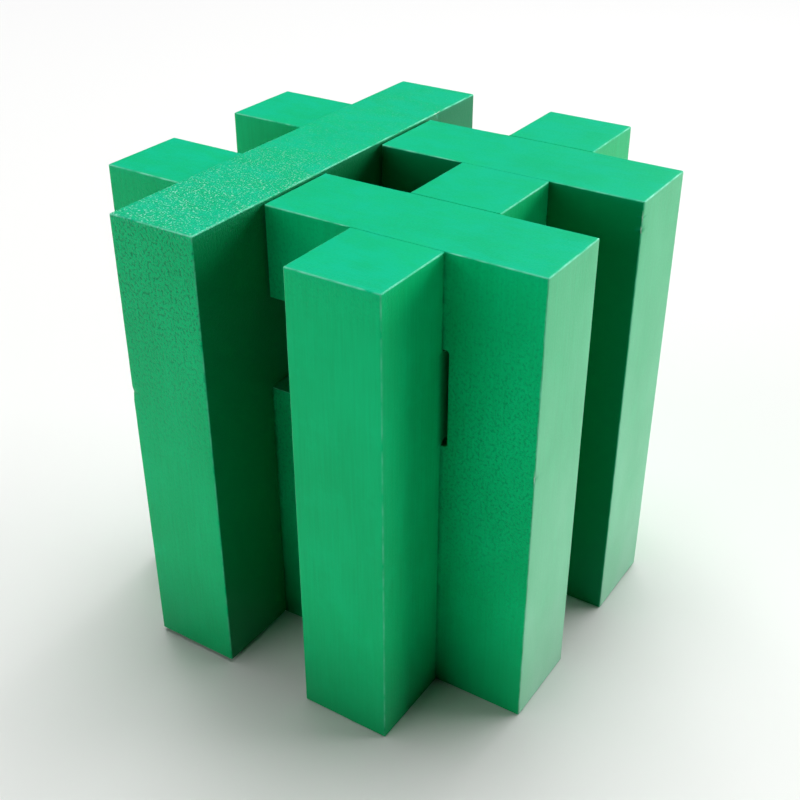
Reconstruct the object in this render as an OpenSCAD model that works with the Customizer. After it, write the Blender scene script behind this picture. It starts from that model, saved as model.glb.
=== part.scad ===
// Four-board burr puzzle. Two pairs of square boards cross at right angles and lock together.
// +X runs along the cross boards, +Y along the key and sliding boards, +Z is up.
// The origin is the middle of the puzzle's base.

/* [Boards] */
// Thickness of every board, which is one unit of the puzzle's grid
unit = 15; // [12:0.5:20]
// How far the key board stands above the other three
key_rise = 0.5; // [0.4:0.1:2]

/* [Fits] */
// Gap on each side of the key board in its slots
key_gap = 0.3; // [0.2:0.05:0.5]
// Gap on each side of the sliding board in its slots
slide_gap = 0.1; // [0.05:0.05:0.3]
// How far the windows run on past the sliding board
window_play = 0.9; // [0.7:0.1:1.5]

/* [Cutter] */
// Radius left in the inside corners of the key and sliding boards' slots
slot_r = 0.9; // [0.6:0.1:0.9]
// Radius left in the inside corners of the cross boards' windows
window_r = 0.6; // [0.3:0.1:0.6]

/* [Hidden] */

// Every board is five units long and high, and stands on one edge
board = 5 * unit;
half = board / 2;
// Middle of each board across its thickness, either side of the puzzle's middle
cross_y = unit;
long_x = unit;

// Height of the window's sill, and of the slot floors level with it
sill_z = 3 * unit;
// Height of the top of the sliding board's bridges
bridge_top_z = 4 * unit;
// Room kept between a square edge and a rounded corner that it sits in
corner_room = 0.05;
// A slot's end stays this far from a square edge, which would meet the slot's corners first
key_seat = corner_gap(slot_r, key_gap) + corner_room;
slide_seat = corner_gap(slot_r, slide_gap) + corner_room;
window_top_z = bridge_top_z + slide_seat;

// A cut that opens through an edge runs past it by this much
past_edge = 2;

paint = [0.02, 0.68, 0.43];
$fn = 48;

// Distance from the end of a slot at which a square edge, a side gap away from the wall,
// touches the rounded corner of radius r
function corner_gap(r, side_gap) = r - sqrt(pow(r, 2) - pow(r - side_gap, 2));

// Rectangle from [x0, y0] to [x1, y1] with corners rounded by r
module round_rect(x0, y0, x1, y1, r) {
    translate([x0 + r, y0]) square([x1 - x0 - 2 * r, y1 - y0]);
    translate([x0, y0 + r]) square([x1 - x0, y1 - y0 - 2 * r]);
    for (x = [x0 + r, x1 - r], y = [y0 + r, y1 - r]) {
        translate([x, y]) circle(r);
    }
}

// The square of a whole board, seen face on, standing on y = 0
module board_square() {
    translate([-half, 0]) square(board);
}

// Slot that opens through the bottom edge, as wide as a board and its gaps
module bottom_slot(middle, gap, end, r) {
    reach = unit / 2 + gap;
    round_rect(middle - reach, -past_edge, middle + reach, end, r);
}

// Slot that opens through the top edge
module top_slot(middle, gap, end, r) {
    reach = unit / 2 + gap;
    round_rect(middle - reach, end, middle + reach, board + past_edge, r);
}

// Key board, face on: two slots from below straddle the cross boards
module key_outline() {
    difference() {
        board_square();
        for (y = [-cross_y, cross_y]) {
            bottom_slot(y, key_gap, sill_z + key_seat - key_rise, slot_r);
        }
    }
}

// Sliding board, face on: slots from below and above leave a bridge one unit high over each cross board
module slide_outline() {
    difference() {
        board_square();
        for (y = [-cross_y, cross_y]) {
            bottom_slot(y, slide_gap, sill_z + slide_seat, slot_r);
            top_slot(y, slide_gap, bridge_top_z, slot_r);
        }
    }
}

// Cross board, face on: the key's slot runs down to the window, where the sliding board's bridge travels
module cross_outline() {
    window_start = -long_x - unit / 2 - key_gap;
    window_end = long_x + unit / 2 + window_play;
    difference() {
        board_square();
        top_slot(-long_x, key_gap, sill_z, window_r);
        round_rect(window_start, sill_z, window_end, window_top_z, window_r);
    }
}

// Stands an outline up along Y, with its thickness centred on x
module stand_along_y(x) {
    translate([x - unit / 2, 0, 0]) rotate([90, 0, 90]) linear_extrude(unit) children();
}

// Stands an outline up along X, with its thickness centred on y
module stand_along_x(y) {
    translate([0, y + unit / 2, 0]) rotate([90, 0, 0]) linear_extrude(unit) children();
}

module key_board() {
    color(paint) translate([0, 0, key_rise]) stand_along_y(-long_x) key_outline();
}

module slide_board() {
    color(paint) stand_along_y(long_x) slide_outline();
}

module front_cross_board() {
    color(paint) stand_along_x(-cross_y) cross_outline();
}

module rear_cross_board() {
    color(paint) stand_along_x(cross_y) cross_outline();
}

key_board();
slide_board();
front_cross_board();
rear_cross_board();
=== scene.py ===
import math

import bmesh
import bpy
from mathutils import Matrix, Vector, noise


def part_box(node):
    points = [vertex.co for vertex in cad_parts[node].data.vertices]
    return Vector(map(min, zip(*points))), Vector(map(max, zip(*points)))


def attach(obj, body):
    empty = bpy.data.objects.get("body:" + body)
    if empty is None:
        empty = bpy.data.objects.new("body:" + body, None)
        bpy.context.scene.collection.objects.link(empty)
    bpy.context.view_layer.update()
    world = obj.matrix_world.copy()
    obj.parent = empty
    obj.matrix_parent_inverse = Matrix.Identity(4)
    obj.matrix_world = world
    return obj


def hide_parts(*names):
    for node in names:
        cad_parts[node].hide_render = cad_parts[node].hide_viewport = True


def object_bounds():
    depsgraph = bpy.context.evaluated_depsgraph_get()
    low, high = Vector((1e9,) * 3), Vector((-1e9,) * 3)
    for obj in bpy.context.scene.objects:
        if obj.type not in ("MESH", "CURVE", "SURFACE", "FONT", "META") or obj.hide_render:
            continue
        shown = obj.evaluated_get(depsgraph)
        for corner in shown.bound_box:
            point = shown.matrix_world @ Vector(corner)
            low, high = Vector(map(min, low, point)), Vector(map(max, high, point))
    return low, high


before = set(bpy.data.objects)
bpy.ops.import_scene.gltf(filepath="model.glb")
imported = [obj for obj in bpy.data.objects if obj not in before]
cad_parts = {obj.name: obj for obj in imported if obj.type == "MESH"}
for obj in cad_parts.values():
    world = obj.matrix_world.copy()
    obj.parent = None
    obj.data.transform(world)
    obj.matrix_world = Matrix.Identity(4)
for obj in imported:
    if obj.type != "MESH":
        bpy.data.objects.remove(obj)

cad_low, cad_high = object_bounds()
MM = 0.001
SIZE = cad_high.x - cad_low.x
CENTRE = (cad_low + cad_high) / 2
slide_low, slide_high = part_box("slide_board")
# From the middle of the puzzle, boards stand between these two distances, with gaps inside the first
GAP_HALF = slide_low.x - CENTRE.x
BOARD_OUT = slide_high.x - CENTRE.x


# ---------------------------------------------------------------- camera

# The camera's direction from the puzzle, its distance and the point it looks at, in widths of the puzzle
CAMERA_AZIMUTH = math.radians(32.79)
CAMERA_ELEVATION = math.radians(31.10)
CAMERA_DISTANCE = 2.685
AIM_RIGHT = 0.012
AIM_UP = -0.045
LENS_MM = 54.1
SENSOR_MM = 36.0


def direction(azimuth, elevation):
    """Unit vector from the puzzle. Azimuth 0 is in front, along -Y, and 90 degrees is along +X."""
    flat = math.cos(elevation)
    return Vector((math.sin(azimuth) * flat, -math.cos(azimuth) * flat, math.sin(elevation)))


def add_camera():
    back = direction(CAMERA_AZIMUTH, CAMERA_ELEVATION)
    right = Vector((math.cos(CAMERA_AZIMUTH), math.sin(CAMERA_AZIMUTH), 0))
    up = back.cross(right)
    data = bpy.data.cameras.new("camera")
    data.lens = LENS_MM
    data.sensor_width = SENSOR_MM
    data.clip_start = SIZE / 10
    data.clip_end = SIZE * 200
    camera = bpy.data.objects.new("camera", data)
    bpy.context.scene.collection.objects.link(camera)
    camera.location = CENTRE + SIZE * (back * CAMERA_DISTANCE + right * AIM_RIGHT + up * AIM_UP)
    camera.rotation_mode = "QUATERNION"
    camera.rotation_quaternion = back.to_track_quat("Z", "Y")
    bpy.context.scene.camera = camera


# ---------------------------------------------------------------- board shapes

# Spacing of the grid that each face is divided into, so that edges can wander and faces can undulate
GRID = 1.25 * MM
# Widest rounding of the outer edges, and the share of it along slots and where boards cross flush
EDGE_ROUND = 0.3 * MM
SLOT_SHARE = 0.5
FLUSH_SHARE = 0.12
EDGE_SEGMENTS = 3
# Share of the rounding that varies along an edge, and the length over which it does
ROUND_CHANGE = 0.15
ROUND_LENGTH = 9 * MM
# Angles between two faces: below the first they are one flat face, and above the second they make a corner
FLAT_ANGLE = math.radians(0.5)
CORNER_ANGLE = math.radians(40)
# Faces and edges fall inside the sawn shape by at most this much, in waves of these lengths
FACE_WAVE = 0.03 * MM
FACE_WAVE_LENGTH = 14 * MM
EDGE_WAVE = 0.03 * MM
EDGE_WAVE_LENGTH = 3 * MM
# Each board's seed moves it this far through the noise, so that no two boards are alike
ROUND_STEP = Vector((3.1, 1.7, 5.3))
WAVE_STEP = Vector((7.7, 2.9, 4.1))
# Points this close are taken to touch
TOUCH = 0.01 * MM
# Two boards' faces meet where they are this close, which takes in the gaps of their slots
SEAM_REACH = 0.35 * MM
# A surface faces along an axis where its normal's share along that axis is above this
SQUARE_ON = 0.9
# A surface stands upright where its normal's Z is below this
UPRIGHT = 0.5
# Points this close to the puzzle's left and right sides are on the cross boards' ends
END_REACH = EDGE_ROUND / 3

# Chips on the corners: board, place as shares of its box along X, Y and Z, radius and depth in millimetres
CHIPS = (
    ("key_board", (1, 0.835, 1), 0.5, 0.25),
    ("key_board", (0, 0, 0.62), 0.5, 0.2),
    ("rear_cross_board", (1, 0, 0.94), 0.45, 0.25),
    ("rear_cross_board", (1, 0, 0.967), 0.4, 0.15),
    ("rear_cross_board", (0, 1, 0.3), 0.9, 0.25),
    ("front_cross_board", (1, 0, 0.595), 0.45, 0.2),
    ("front_cross_board", (0, 0, 0.12), 0.8, 0.22),
    ("slide_board", (1, 1, 0.55), 0.7, 0.22),
)
# Chips this deep show the primer
BARE_DEPTH = 0.2 * MM
# Cuts added along the corner at each chip, so that it has points of its own, in shares of its radius
CHIP_CUTS = (-0.6, -0.2, 0.2, 0.6)
# The faces with their middle this near a chip's middle are the ones cut
CHIP_REACH = 2 * GRID


def chips_on(node):
    """The middle, radius and depth of each chip on this board, in metres."""
    low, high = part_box(node)
    chips = []
    for board, shares, radius, depth in CHIPS:
        if board == node:
            middle = Vector([low[i] + shares[i] * (high[i] - low[i]) for i in range(3)])
            chips.append((middle, radius * MM, depth * MM))
    return chips


# A step along this moves a point as far along each axis
DIAGONAL = Vector((1, 1, 1))


def cut(bm, parts, point, axis):
    """Divides those of the parts that the plane through the point, square to the axis, passes."""
    normal = Vector([float(i == axis) for i in range(3)])
    bmesh.ops.bisect_plane(bm, geom=parts, dist=TOUCH, plane_co=point, plane_no=normal)


def cut_chip(bm, middle, radius, axis):
    """Divides the faces round a chip along one axis, so that the chip has points of its own."""
    for share in CHIP_CUTS:
        faces = [f for f in bm.faces if (f.calc_center_median() - middle).length < CHIP_REACH]
        edges = {e for f in faces for e in f.edges}
        verts = {v for f in faces for v in f.verts}
        cut(bm, faces + list(edges) + list(verts), middle + DIAGONAL * (share * radius), axis)


def gridded(node):
    """The CAD node's own shape, with its flat faces divided into a grid."""
    bm = bmesh.new()
    bm.from_mesh(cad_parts[node].data)
    bmesh.ops.remove_doubles(bm, verts=bm.verts, dist=TOUCH / 10)
    bmesh.ops.dissolve_limit(bm, angle_limit=FLAT_ANGLE, verts=bm.verts, edges=bm.edges)
    low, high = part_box(node)
    for axis in range(3):
        length = high[axis] - low[axis]
        cells = round(length / GRID)
        for k in range(1, cells):
            point = low + DIAGONAL * (length * k / cells)
            cut(bm, bm.verts[:] + bm.edges[:] + bm.faces[:], point, axis)
    for middle, radius, _ in chips_on(node):
        for axis in range(3):
            if low[axis] < middle[axis] < high[axis]:
                cut_chip(bm, middle, radius, axis)
    return bm


def on_box(face, low, high):
    """True if the face lies on the board's outer box, and so isn't the wall of a slot."""
    for axis in range(3):
        for side in (low[axis], high[axis]):
            if all(abs(v.co[axis] - side) < TOUCH for v in face.verts):
                return True
    return False


def off_centre(point):
    """How far the point is from the middle of the puzzle along X and along Y."""
    return abs(point.x - CENTRE.x), abs(point.y - CENTRE.y)


def on_flush_seam(point):
    """True near the seams where boards cross flush with each other, on the puzzle's top or underside."""
    flush = min(abs(point.z - slide_high.z), abs(point.z - slide_low.z)) < EDGE_ROUND
    return flush and all(GAP_HALF - SEAM_REACH < d < BOARD_OUT + SEAM_REACH for d in off_centre(point))


def weigh_edges(bm, node, seed):
    """Gives each corner of the board a bevel weight: full on outer edges, less along slots, and uneven."""
    low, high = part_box(node)
    layer = bm.edges.layers.float.new("bevel_weight_edge")
    for edge in bm.edges:
        if len(edge.link_faces) != 2 or edge.calc_face_angle(0) < CORNER_ANGLE:
            continue
        share = 1 if all(on_box(f, low, high) for f in edge.link_faces) else SLOT_SHARE
        start, end = (v.co for v in edge.verts)
        middle = (start + end) / 2
        if abs(start.z - end.z) < TOUCH and on_flush_seam(middle):
            share = FLUSH_SHARE
        change = ROUND_CHANGE * noise.noise(middle / ROUND_LENGTH + ROUND_STEP * seed)
        edge[layer] = share * (1 - ROUND_CHANGE + change)


def applied(obj):
    """The object's mesh with its modifiers applied."""
    obj.data = bpy.data.meshes.new_from_object(obj.evaluated_get(bpy.context.evaluated_depsgraph_get()))
    obj.modifiers.clear()
    return obj.data


def round_edges(obj):
    """Rounds the weighted edges. The rounded faces get material index 1, so that they can be found."""
    obj.data.materials.append(None)
    obj.data.materials.append(None)
    bevel = obj.modifiers.new("round", "BEVEL")
    bevel.limit_method = "WEIGHT"
    bevel.width = EDGE_ROUND
    bevel.segments = EDGE_SEGMENTS
    bevel.use_clamp_overlap = False
    bevel.material = 1
    return applied(obj)


def add_values(mesh, name, values):
    """Adds one number for each point, which the materials read by name."""
    layer = mesh.attributes.new(name, "FLOAT", "POINT")
    layer.data.foreach_set("value", values)


def edge_wear(mesh):
    """For each point, 1 on the crest of a rounded edge, falling to 0 at its sides."""
    rounded = [0] * len(mesh.vertices)
    flat = [0] * len(mesh.vertices)
    for polygon in mesh.polygons:
        counts = rounded if polygon.material_index == 1 else flat
        for index in polygon.vertices:
            counts[index] += 1
        polygon.material_index = 0
    crests = [r > 0 and f == 0 for r, f in zip(rounded, flat)]
    return [float(crest and not on_flush_seam(v.co)) for crest, v in zip(crests, mesh.vertices)]


def gap_shade_at(vertex, node):
    """1 where shade is painted, else 0: the broad side that faces the board's twin across the gap,
    apart from the cross boards' left ends, and the sliding board's bridges, which stay inside the windows."""
    across, along = off_centre(vertex.co)
    at_gap = (abs(d - GAP_HALF) < TOUCH for d in (across, along))
    on_left_end = vertex.co.x < CENTRE.x - BOARD_OUT
    faces_twin = not on_left_end and any(at and abs(n) > SQUARE_ON for at, n in zip(at_gap, vertex.normal))
    on_bridge = node == "slide_board" and GAP_HALF - TOUCH < along < BOARD_OUT + TOUCH
    return float(faces_twin or on_bridge)


def corner_shade_at(vertex):
    """1 along the upright lines where boards cross, where shade is painted, else 0."""
    from_corner = [min(abs(d - GAP_HALF), abs(d - BOARD_OUT)) for d in off_centre(vertex.co)]
    return float(max(from_corner) < SEAM_REACH and abs(vertex.normal.z) < UPRIGHT)


def end_reflection_at(vertex):
    """1 on the cross boards' outer ends, where a pale reflection is painted, else 0."""
    return float(cad_high.x - off_centre(vertex.co)[0] < END_REACH)


def chip_depth(point, chips):
    """How deep a chip goes at the point, in metres."""
    depth = 0.0
    for middle, radius, deepest in chips:
        away = (point - middle).length / radius
        depth = max(depth, deepest * (1 - min(away, 1) ** 2))
    return depth


def weather(mesh, node, seed):
    """Moves points inside the sawn shape: slow waves on faces, quicker ones on worn edges, and the chips.
    The flush seams keep their narrow edges. The values that the materials read are worked out here too."""
    chips = chips_on(node)
    wear = edge_wear(mesh)
    # Painted shade on the sides that face across the gaps and on the bridges inside the windows
    gap_shade = [gap_shade_at(v, node) for v in mesh.vertices]
    # Painted shade along the upright lines where boards cross
    corner_shade = [corner_shade_at(v) for v in mesh.vertices]
    # Painted reflection on the cross boards' ends
    end_reflection = [end_reflection_at(v) for v in mesh.vertices]
    level = [max(v.normal.z, 0.0) for v in mesh.vertices]
    normals = [v.normal.copy() for v in mesh.vertices]
    bare = []
    for vertex, worn, normal in zip(mesh.vertices, wear, normals):
        slow = 0.5 + 0.5 * noise.noise(vertex.co / FACE_WAVE_LENGTH + WAVE_STEP * seed)
        quick = 0.5 + 0.5 * noise.noise(vertex.co / EDGE_WAVE_LENGTH + WAVE_STEP * seed)
        chip = chip_depth(vertex.co, chips)
        bare.append(worn * min(1.0, chip / BARE_DEPTH))
        wave = 0 if on_flush_seam(vertex.co) else FACE_WAVE * slow + EDGE_WAVE * quick * worn
        vertex.co -= normal * (wave + chip)
    add_values(mesh, "wear", wear)
    add_values(mesh, "gap_shade", gap_shade)
    add_values(mesh, "corner_shade", corner_shade)
    add_values(mesh, "end_reflection", end_reflection)
    add_values(mesh, "level", level)
    add_values(mesh, "bare", bare)


def make_board(node, body, material, seed):
    """Makes the detailed piece that stands for one CAD board."""
    bm = gridded(node)
    weigh_edges(bm, node, seed)
    mesh = bpy.data.meshes.new(node)
    bm.to_mesh(mesh)
    bm.free()
    board = bpy.data.objects.new("painted_" + node, mesh)
    bpy.context.scene.collection.objects.link(board)
    mesh = round_edges(board)
    weather(mesh, node, seed)
    mesh.materials.clear()
    mesh.materials.append(material)
    mesh.shade_smooth()
    smoothing = board.modifiers.new("even_normals", "WEIGHTED_NORMAL")
    smoothing.keep_sharp = False
    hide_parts(node)
    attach(board, body)


# ---------------------------------------------------------------- materials


class Nodes:
    """Adds and links shader nodes in one material."""

    def __init__(self, name):
        self.material = bpy.data.materials.new(name)
        self.material.use_nodes = True
        self.tree = self.material.node_tree
        self.shader = self.tree.nodes["Principled BSDF"]

    def add(self, kind, settings=None, **inputs):
        """Adds a node. Inputs are named by socket, with _ for a space, and take values or other sockets."""
        made = self.tree.nodes.new(kind)
        for name, value in (settings or {}).items():
            setattr(made, name, value)
        for name, value in inputs.items():
            self.put(made.inputs[name.replace("_", " ")], value)
        return made

    def put(self, socket, value):
        """Links the socket to another one, or sets it to a value."""
        if isinstance(value, bpy.types.NodeSocket):
            self.tree.links.new(value, socket)
        else:
            socket.default_value = value

    def place(self):
        """The object's own coordinates, in metres."""
        return self.add("ShaderNodeTexCoord").outputs["Object"]

    def stretched(self, per_mm):
        """The object's coordinates, scaled to this many pattern cells a millimetre along X, Y and Z."""
        scale = [n / MM for n in per_mm]
        return self.add("ShaderNodeMapping", Vector=self.place(), Scale=scale).outputs["Vector"]

    def noise(self, per_mm, detail=3.0, roughness=0.5):
        """Noise from 0 to 1, with this many cells a millimetre along X, Y and Z."""
        made = self.add("ShaderNodeTexNoise", Vector=self.stretched(per_mm), Scale=1.0, Detail=detail,
                        Roughness=roughness)
        return made.outputs["Fac"]

    def math(self, operation, a, b=0.0):
        made = self.add("ShaderNodeMath", {"operation": operation})
        self.put(made.inputs[0], a)
        self.put(made.inputs[1], b)
        return made.outputs[0]

    def ramp(self, factor, low, high, out_low=0.0, out_high=1.0):
        """Goes from out_low to out_high as the factor goes from low to high, and stays there outside them."""
        made = self.add("ShaderNodeMapRange", {"clamp": True}, Value=factor)
        for name, value in (("From Min", low), ("From Max", high), ("To Min", out_low), ("To Max", out_high)):
            made.inputs[name].default_value = value
        return made.outputs["Result"]

    def mix(self, factor, a, b):
        """Goes from colour a to colour b. A mix node's colour inputs are numbers 6 and 7."""
        made = self.add("ShaderNodeMix", {"data_type": "RGBA"})
        self.put(made.inputs[0], factor)
        self.put(made.inputs[6], a)
        self.put(made.inputs[7], b)
        return made.outputs[2]

    def attribute(self, name):
        """The number that add_values stored under this name."""
        return self.add("ShaderNodeAttribute", {"attribute_name": name}).outputs["Fac"]


# Linear colours. The paint goes from dark to light along the grain, and level surfaces get a painted sheen
PAINT = (0.0, 0.47, 0.140, 1)
PAINT_DARK = (0.0, 0.39, 0.105, 1)
PAINT_LIGHT = (0.0, 0.54, 0.180, 1)
PAINTED_TOP_SHEEN = (0.0, 0.50, 0.27, 1)
# Painted shade on the sides that face across the gaps, in the windows and low down; and the pits' colour,
# which also serves as painted shade along the seams
PAINTED_SHADE = (0.0, 0.20, 0.050, 1)
PAINT_PIT = (0.0, 0.19, 0.05, 1)
# A painted reflection on the cross boards' ends, wear with a painted highlight along the edges, the primer
# in the deepest chips, and painted glints on the coarse paint's level surfaces
PAINTED_END_REFLECTION = (0.45, 0.70, 0.55, 1)
PAINT_WORN_HIGHLIGHT = (0.25, 0.80, 0.55, 1)
PRIMER = (0.62, 0.80, 0.68, 1)
PAINTED_GLINT = (0.70, 1.0, 0.90, 1)
# The gloss's tint and level, and the height of the paint's relief
SHEEN_TINT = (0.0, 1.0, 0.95, 1)
SHEEN_LEVEL = 0.4
RELIEF = 0.06 * MM
RELIEF_STRENGTH = 0.5


def distance_from(n, y, z, reach):
    """1 along the line at this Y and Z, falling to 0 at the reach, in metres."""
    here = n.add("ShaderNodeSeparateXYZ", Vector=n.place())
    across = n.math("POWER", n.math("SUBTRACT", here.outputs["Y"], y), 2.0)
    down = n.math("POWER", n.math("SUBTRACT", here.outputs["Z"], z), 2.0)
    return n.ramp(n.math("SQRT", n.math("ADD", across, down)), 0.25 * reach, reach, 1.0, 0.0)


def painted_wood(name, coarse_at, reach, least, pitting, glint):
    """Green paint over upright grain. It is coarsest along the line at coarse_at, a Y and a Z, and the
    coarseness falls to least within reach. pitting sets how strongly its pits show, and the last argument
    how strongly its painted glints show."""
    n = Nodes(name)
    # Patterns, each stretched along the grain or the brush strokes or not at all
    grain = n.noise((2.4, 2.4, 0.09), detail=5.0, roughness=0.6)
    fibre = n.noise((9.0, 9.0, 0.5), detail=2.0)
    mottle = n.noise((0.11, 0.11, 0.06), detail=3.0)
    brush = n.noise((0.14, 0.26, 0.14), detail=5.0, roughness=0.7)
    spray = n.noise((3.2, 3.2, 3.2), detail=3.0, roughness=0.6)
    flecks = n.noise((3.6, 3.6, 3.6), detail=1.0)
    pits = n.ramp(n.noise((2.4, 2.4, 1.8), detail=3.0, roughness=0.7), 0.48, 0.64)
    rubbed = n.ramp(n.noise((0.35, 0.35, 0.35), detail=4.0), 0.35, 0.65)
    height_up = n.add("ShaderNodeSeparateXYZ", Vector=n.place()).outputs["Z"]
    coarse = n.ramp(distance_from(n, *coarse_at, reach), 0.0, 1.0, least, 1.0)
    coarse = n.math("MULTIPLY", coarse, n.math("SUBTRACT", 1.0, n.attribute("end_reflection")))

    # Colour: the paint's own tones and pits, painted glints, then painted shade in the gaps, a painted sheen
    # on level surfaces, painted shade low down, a painted reflection on the ends, wear with a painted
    # highlight on the edges, painted shade along the seams, and the primer
    tone = n.math("ADD", n.math("MULTIPLY", grain, 0.5), n.math("MULTIPLY", mottle, 0.5))
    colour = n.mix(n.ramp(tone, 0.38, 0.62), PAINT_DARK, PAINT_LIGHT)
    colour = n.mix(0.5, PAINT, colour)
    colour = n.mix(n.math("MULTIPLY", n.ramp(brush, 0.52, 0.62), 0.3), colour, PAINT_LIGHT)
    colour = n.mix(n.math("MULTIPLY", n.math("MULTIPLY", pits, coarse), pitting), colour, PAINT_PIT)
    # Painted glints on the coarse paint's level surfaces
    glint_specks = n.math("MULTIPLY", n.ramp(flecks, 0.60, 0.68), n.math("MULTIPLY", coarse, n.attribute("level")))
    colour = n.mix(n.math("MULTIPLY", glint_specks, glint), colour, PAINTED_GLINT)
    # Painted shade on the sides that face across the gaps and on the bridges inside the windows
    colour = n.mix(n.math("MULTIPLY", n.attribute("gap_shade"), 0.95), colour, PAINTED_SHADE)
    # Painted sheen on level surfaces, patchy with the brush strokes
    top_sheen = n.math("MULTIPLY", n.attribute("level"), n.ramp(brush, 0.40, 0.62, 0.42, 0.80))
    colour = n.mix(top_sheen, colour, PAINTED_TOP_SHEEN)
    # Painted shade, darker towards the bottom
    low_shade = n.math("MULTIPLY", n.ramp(height_up, 0.0, 0.25 * SIZE, 0.65, 0.0),
                      n.ramp(mottle, 0.3, 0.7, 0.8, 1.2))
    colour = n.mix(low_shade, colour, PAINTED_SHADE)
    # Painted reflection of the floor on the cross boards' ends, stronger low down
    low_down = n.ramp(height_up, 0.0, SIZE, 0.55, 0.20)
    end_reflection = n.math("MULTIPLY", low_down, n.ramp(mottle, 0.3, 0.7, 0.85, 1.15))
    colour = n.mix(n.math("MULTIPLY", n.attribute("end_reflection"), end_reflection), colour, PAINTED_END_REFLECTION)
    # Wear on the edges' crests, together with a painted highlight that is stronger on level edges
    worn = n.math("MULTIPLY", n.attribute("wear"), rubbed)
    worn = n.math("MULTIPLY", worn, n.ramp(n.attribute("level"), 0.0, 0.5, 0.35, 0.75))
    colour = n.mix(worn, colour, PAINT_WORN_HIGHLIGHT)
    # Painted shade along the upright lines where boards cross
    seam_shade = n.math("MULTIPLY", n.ramp(n.attribute("corner_shade"), 0.6, 1.0, 0.0, 0.6), rubbed)
    colour = n.mix(seam_shade, colour, PAINT_PIT)
    colour = n.mix(n.attribute("bare"), colour, PRIMER)
    n.put(n.shader.inputs["Base Color"], colour)

    # Gloss
    n.put(n.shader.inputs["Roughness"], n.ramp(spray, 0.3, 0.7, 0.38, 0.52))
    n.shader.inputs["Specular Tint"].default_value = SHEEN_TINT
    n.shader.inputs["Specular IOR Level"].default_value = SHEEN_LEVEL

    # Relief: grain and fibre everywhere, with lumps and pits where the paint is coarse
    height = n.math("ADD", n.math("MULTIPLY", grain, 0.5), n.math("MULTIPLY", fibre, 0.2))
    lumps = n.math("MULTIPLY", n.math("ADD", spray, flecks), n.ramp(coarse, 0.0, 1.0, 0.2, 1.1))
    height = n.math("ADD", height, lumps)
    holes = n.math("MULTIPLY", n.math("MULTIPLY", pits, coarse), 1.6 * pitting)
    height = n.math("SUBTRACT", height, holes)
    bump = n.add("ShaderNodeBump", Height=height, Strength=RELIEF_STRENGTH, Distance=RELIEF)
    n.put(n.shader.inputs["Normal"], bump.outputs["Normal"])
    return n.material


# ---------------------------------------------------------------- floor and light

FLOOR = (0.80, 0.80, 0.79, 1)
FLOOR_ROUGHNESS = 0.9
FLOOR_WIDTHS = 200
BACKDROP = (0.96, 0.96, 0.96, 1)
# The floor fades into the backdrop between these distances, in widths of the puzzle
FADE_START = 2
FADE_END = 7
# How strongly the backdrop's colour lights the puzzle
AMBIENT = 0.01
# The lights stand this far away, in widths of the puzzle
LIGHT_DISTANCE = 25


def add_floor():
    """A pale floor. To the camera it fades into the backdrop, and to the light it is floor throughout."""
    bpy.ops.mesh.primitive_plane_add(size=SIZE * FLOOR_WIDTHS, location=(0, 0, 0))
    floor = bpy.context.object
    floor.name = "floor"
    n = Nodes("floor")
    n.put(n.shader.inputs["Base Color"], FLOOR)
    n.put(n.shader.inputs["Roughness"], FLOOR_ROUGHNESS)
    away = n.add("ShaderNodeVectorMath", {"operation": "LENGTH"}, Vector=n.place()).outputs["Value"]
    seen = n.add("ShaderNodeLightPath").outputs["Is Camera Ray"]
    fade = n.math("MULTIPLY", n.ramp(away, FADE_START * SIZE, FADE_END * SIZE), seen)
    far = n.add("ShaderNodeEmission", Color=BACKDROP)
    mix = n.add("ShaderNodeMixShader")
    n.put(mix.inputs[0], fade)
    n.put(mix.inputs[1], n.shader.outputs[0])
    n.put(mix.inputs[2], far.outputs[0])
    n.put(n.tree.nodes["Material Output"].inputs["Surface"], mix.outputs[0])
    floor.data.materials.append(n.material)


def add_light(name, azimuth, elevation, width, height, power):
    """Soft light. Angles are in degrees, and its width and height are in widths of the puzzle."""
    data = bpy.data.lights.new(name, "AREA")
    data.shape = "RECTANGLE"
    data.size = width * SIZE
    data.size_y = height * SIZE
    data.energy = power
    light = bpy.data.objects.new(name, data)
    bpy.context.scene.collection.objects.link(light)
    towards = direction(math.radians(azimuth), math.radians(elevation))
    light.location = CENTRE + towards * LIGHT_DISTANCE * SIZE
    light.rotation_mode = "QUATERNION"
    light.rotation_quaternion = towards.to_track_quat("Z", "Y")


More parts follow.
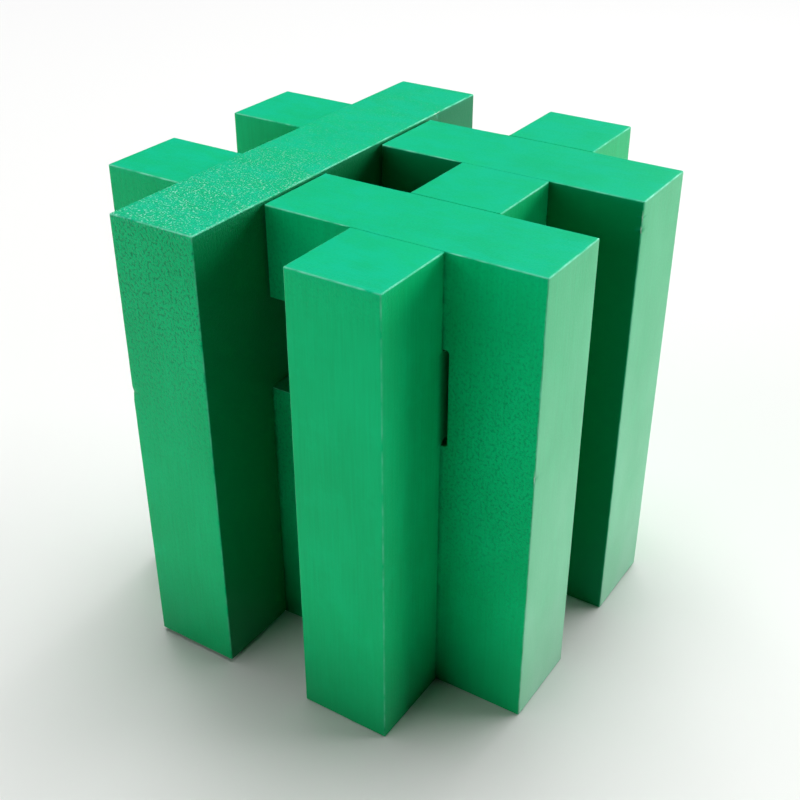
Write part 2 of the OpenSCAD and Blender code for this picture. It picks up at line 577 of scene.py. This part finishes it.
def add_world():
    """A pale backdrop for the camera, which hardly lights the puzzle."""
    world = bpy.data.worlds.new("studio")
    world.use_nodes = True
    nodes = world.node_tree.nodes
    links = world.node_tree.links
    ambient = nodes["Background"]
    ambient.inputs["Color"].default_value = BACKDROP
    ambient.inputs["Strength"].default_value = AMBIENT
    backdrop = nodes.new("ShaderNodeBackground")
    backdrop.inputs["Color"].default_value = BACKDROP
    rays = nodes.new("ShaderNodeLightPath")
    mix = nodes.new("ShaderNodeMixShader")
    links.new(rays.outputs["Is Camera Ray"], mix.inputs[0])
    links.new(ambient.outputs[0], mix.inputs[1])
    links.new(backdrop.outputs[0], mix.inputs[2])
    links.new(mix.outputs[0], nodes["World Output"].inputs["Surface"])
    bpy.context.scene.world = world


def add_studio():
    add_world()
    bpy.context.scene.view_settings.view_transform = "Standard"
    add_light("right_low_light", azimuth=135, elevation=10.5, width=16, height=11, power=26)
    add_light("back_light", azimuth=170, elevation=26, width=16, height=16, power=11)
    add_light("back_left_top_light", azimuth=213, elevation=72, width=19, height=19, power=39)
    add_light("front_left_low_light", azimuth=-26, elevation=12.3, width=19, height=13, power=14.7)


# ---------------------------------------------------------------- the scene

add_camera()
add_floor()
add_studio()
# The lines along X where the paint is coarsest, as a Y and a Z: the key board's near top edge, and a little
# over halfway up the front cross board's near face
near_top_edge = (cad_low.y, cad_high.z)
front_face = (-BOARD_OUT, 0.6 * cad_high.z)
coarse_paint = painted_wood("coarse_green_paint", near_top_edge, reach=0.55 * SIZE, least=0.15,
                            pitting=0.9, glint=1.0)
smooth_paint = painted_wood("smooth_green_paint", near_top_edge, reach=0.1 * SIZE, least=0.05,
                            pitting=0.2, glint=0.0)
grainy_paint = painted_wood("grainy_green_paint", front_face, reach=0.5 * SIZE, least=0.05,
                            pitting=0.6, glint=0.0)
make_board("key_board", "key", coarse_paint, 1)
make_board("slide_board", "slider", smooth_paint, 2)
make_board("front_cross_board", "cross_boards", grainy_paint, 3)
make_board("rear_cross_board", "cross_boards", grainy_paint, 4)
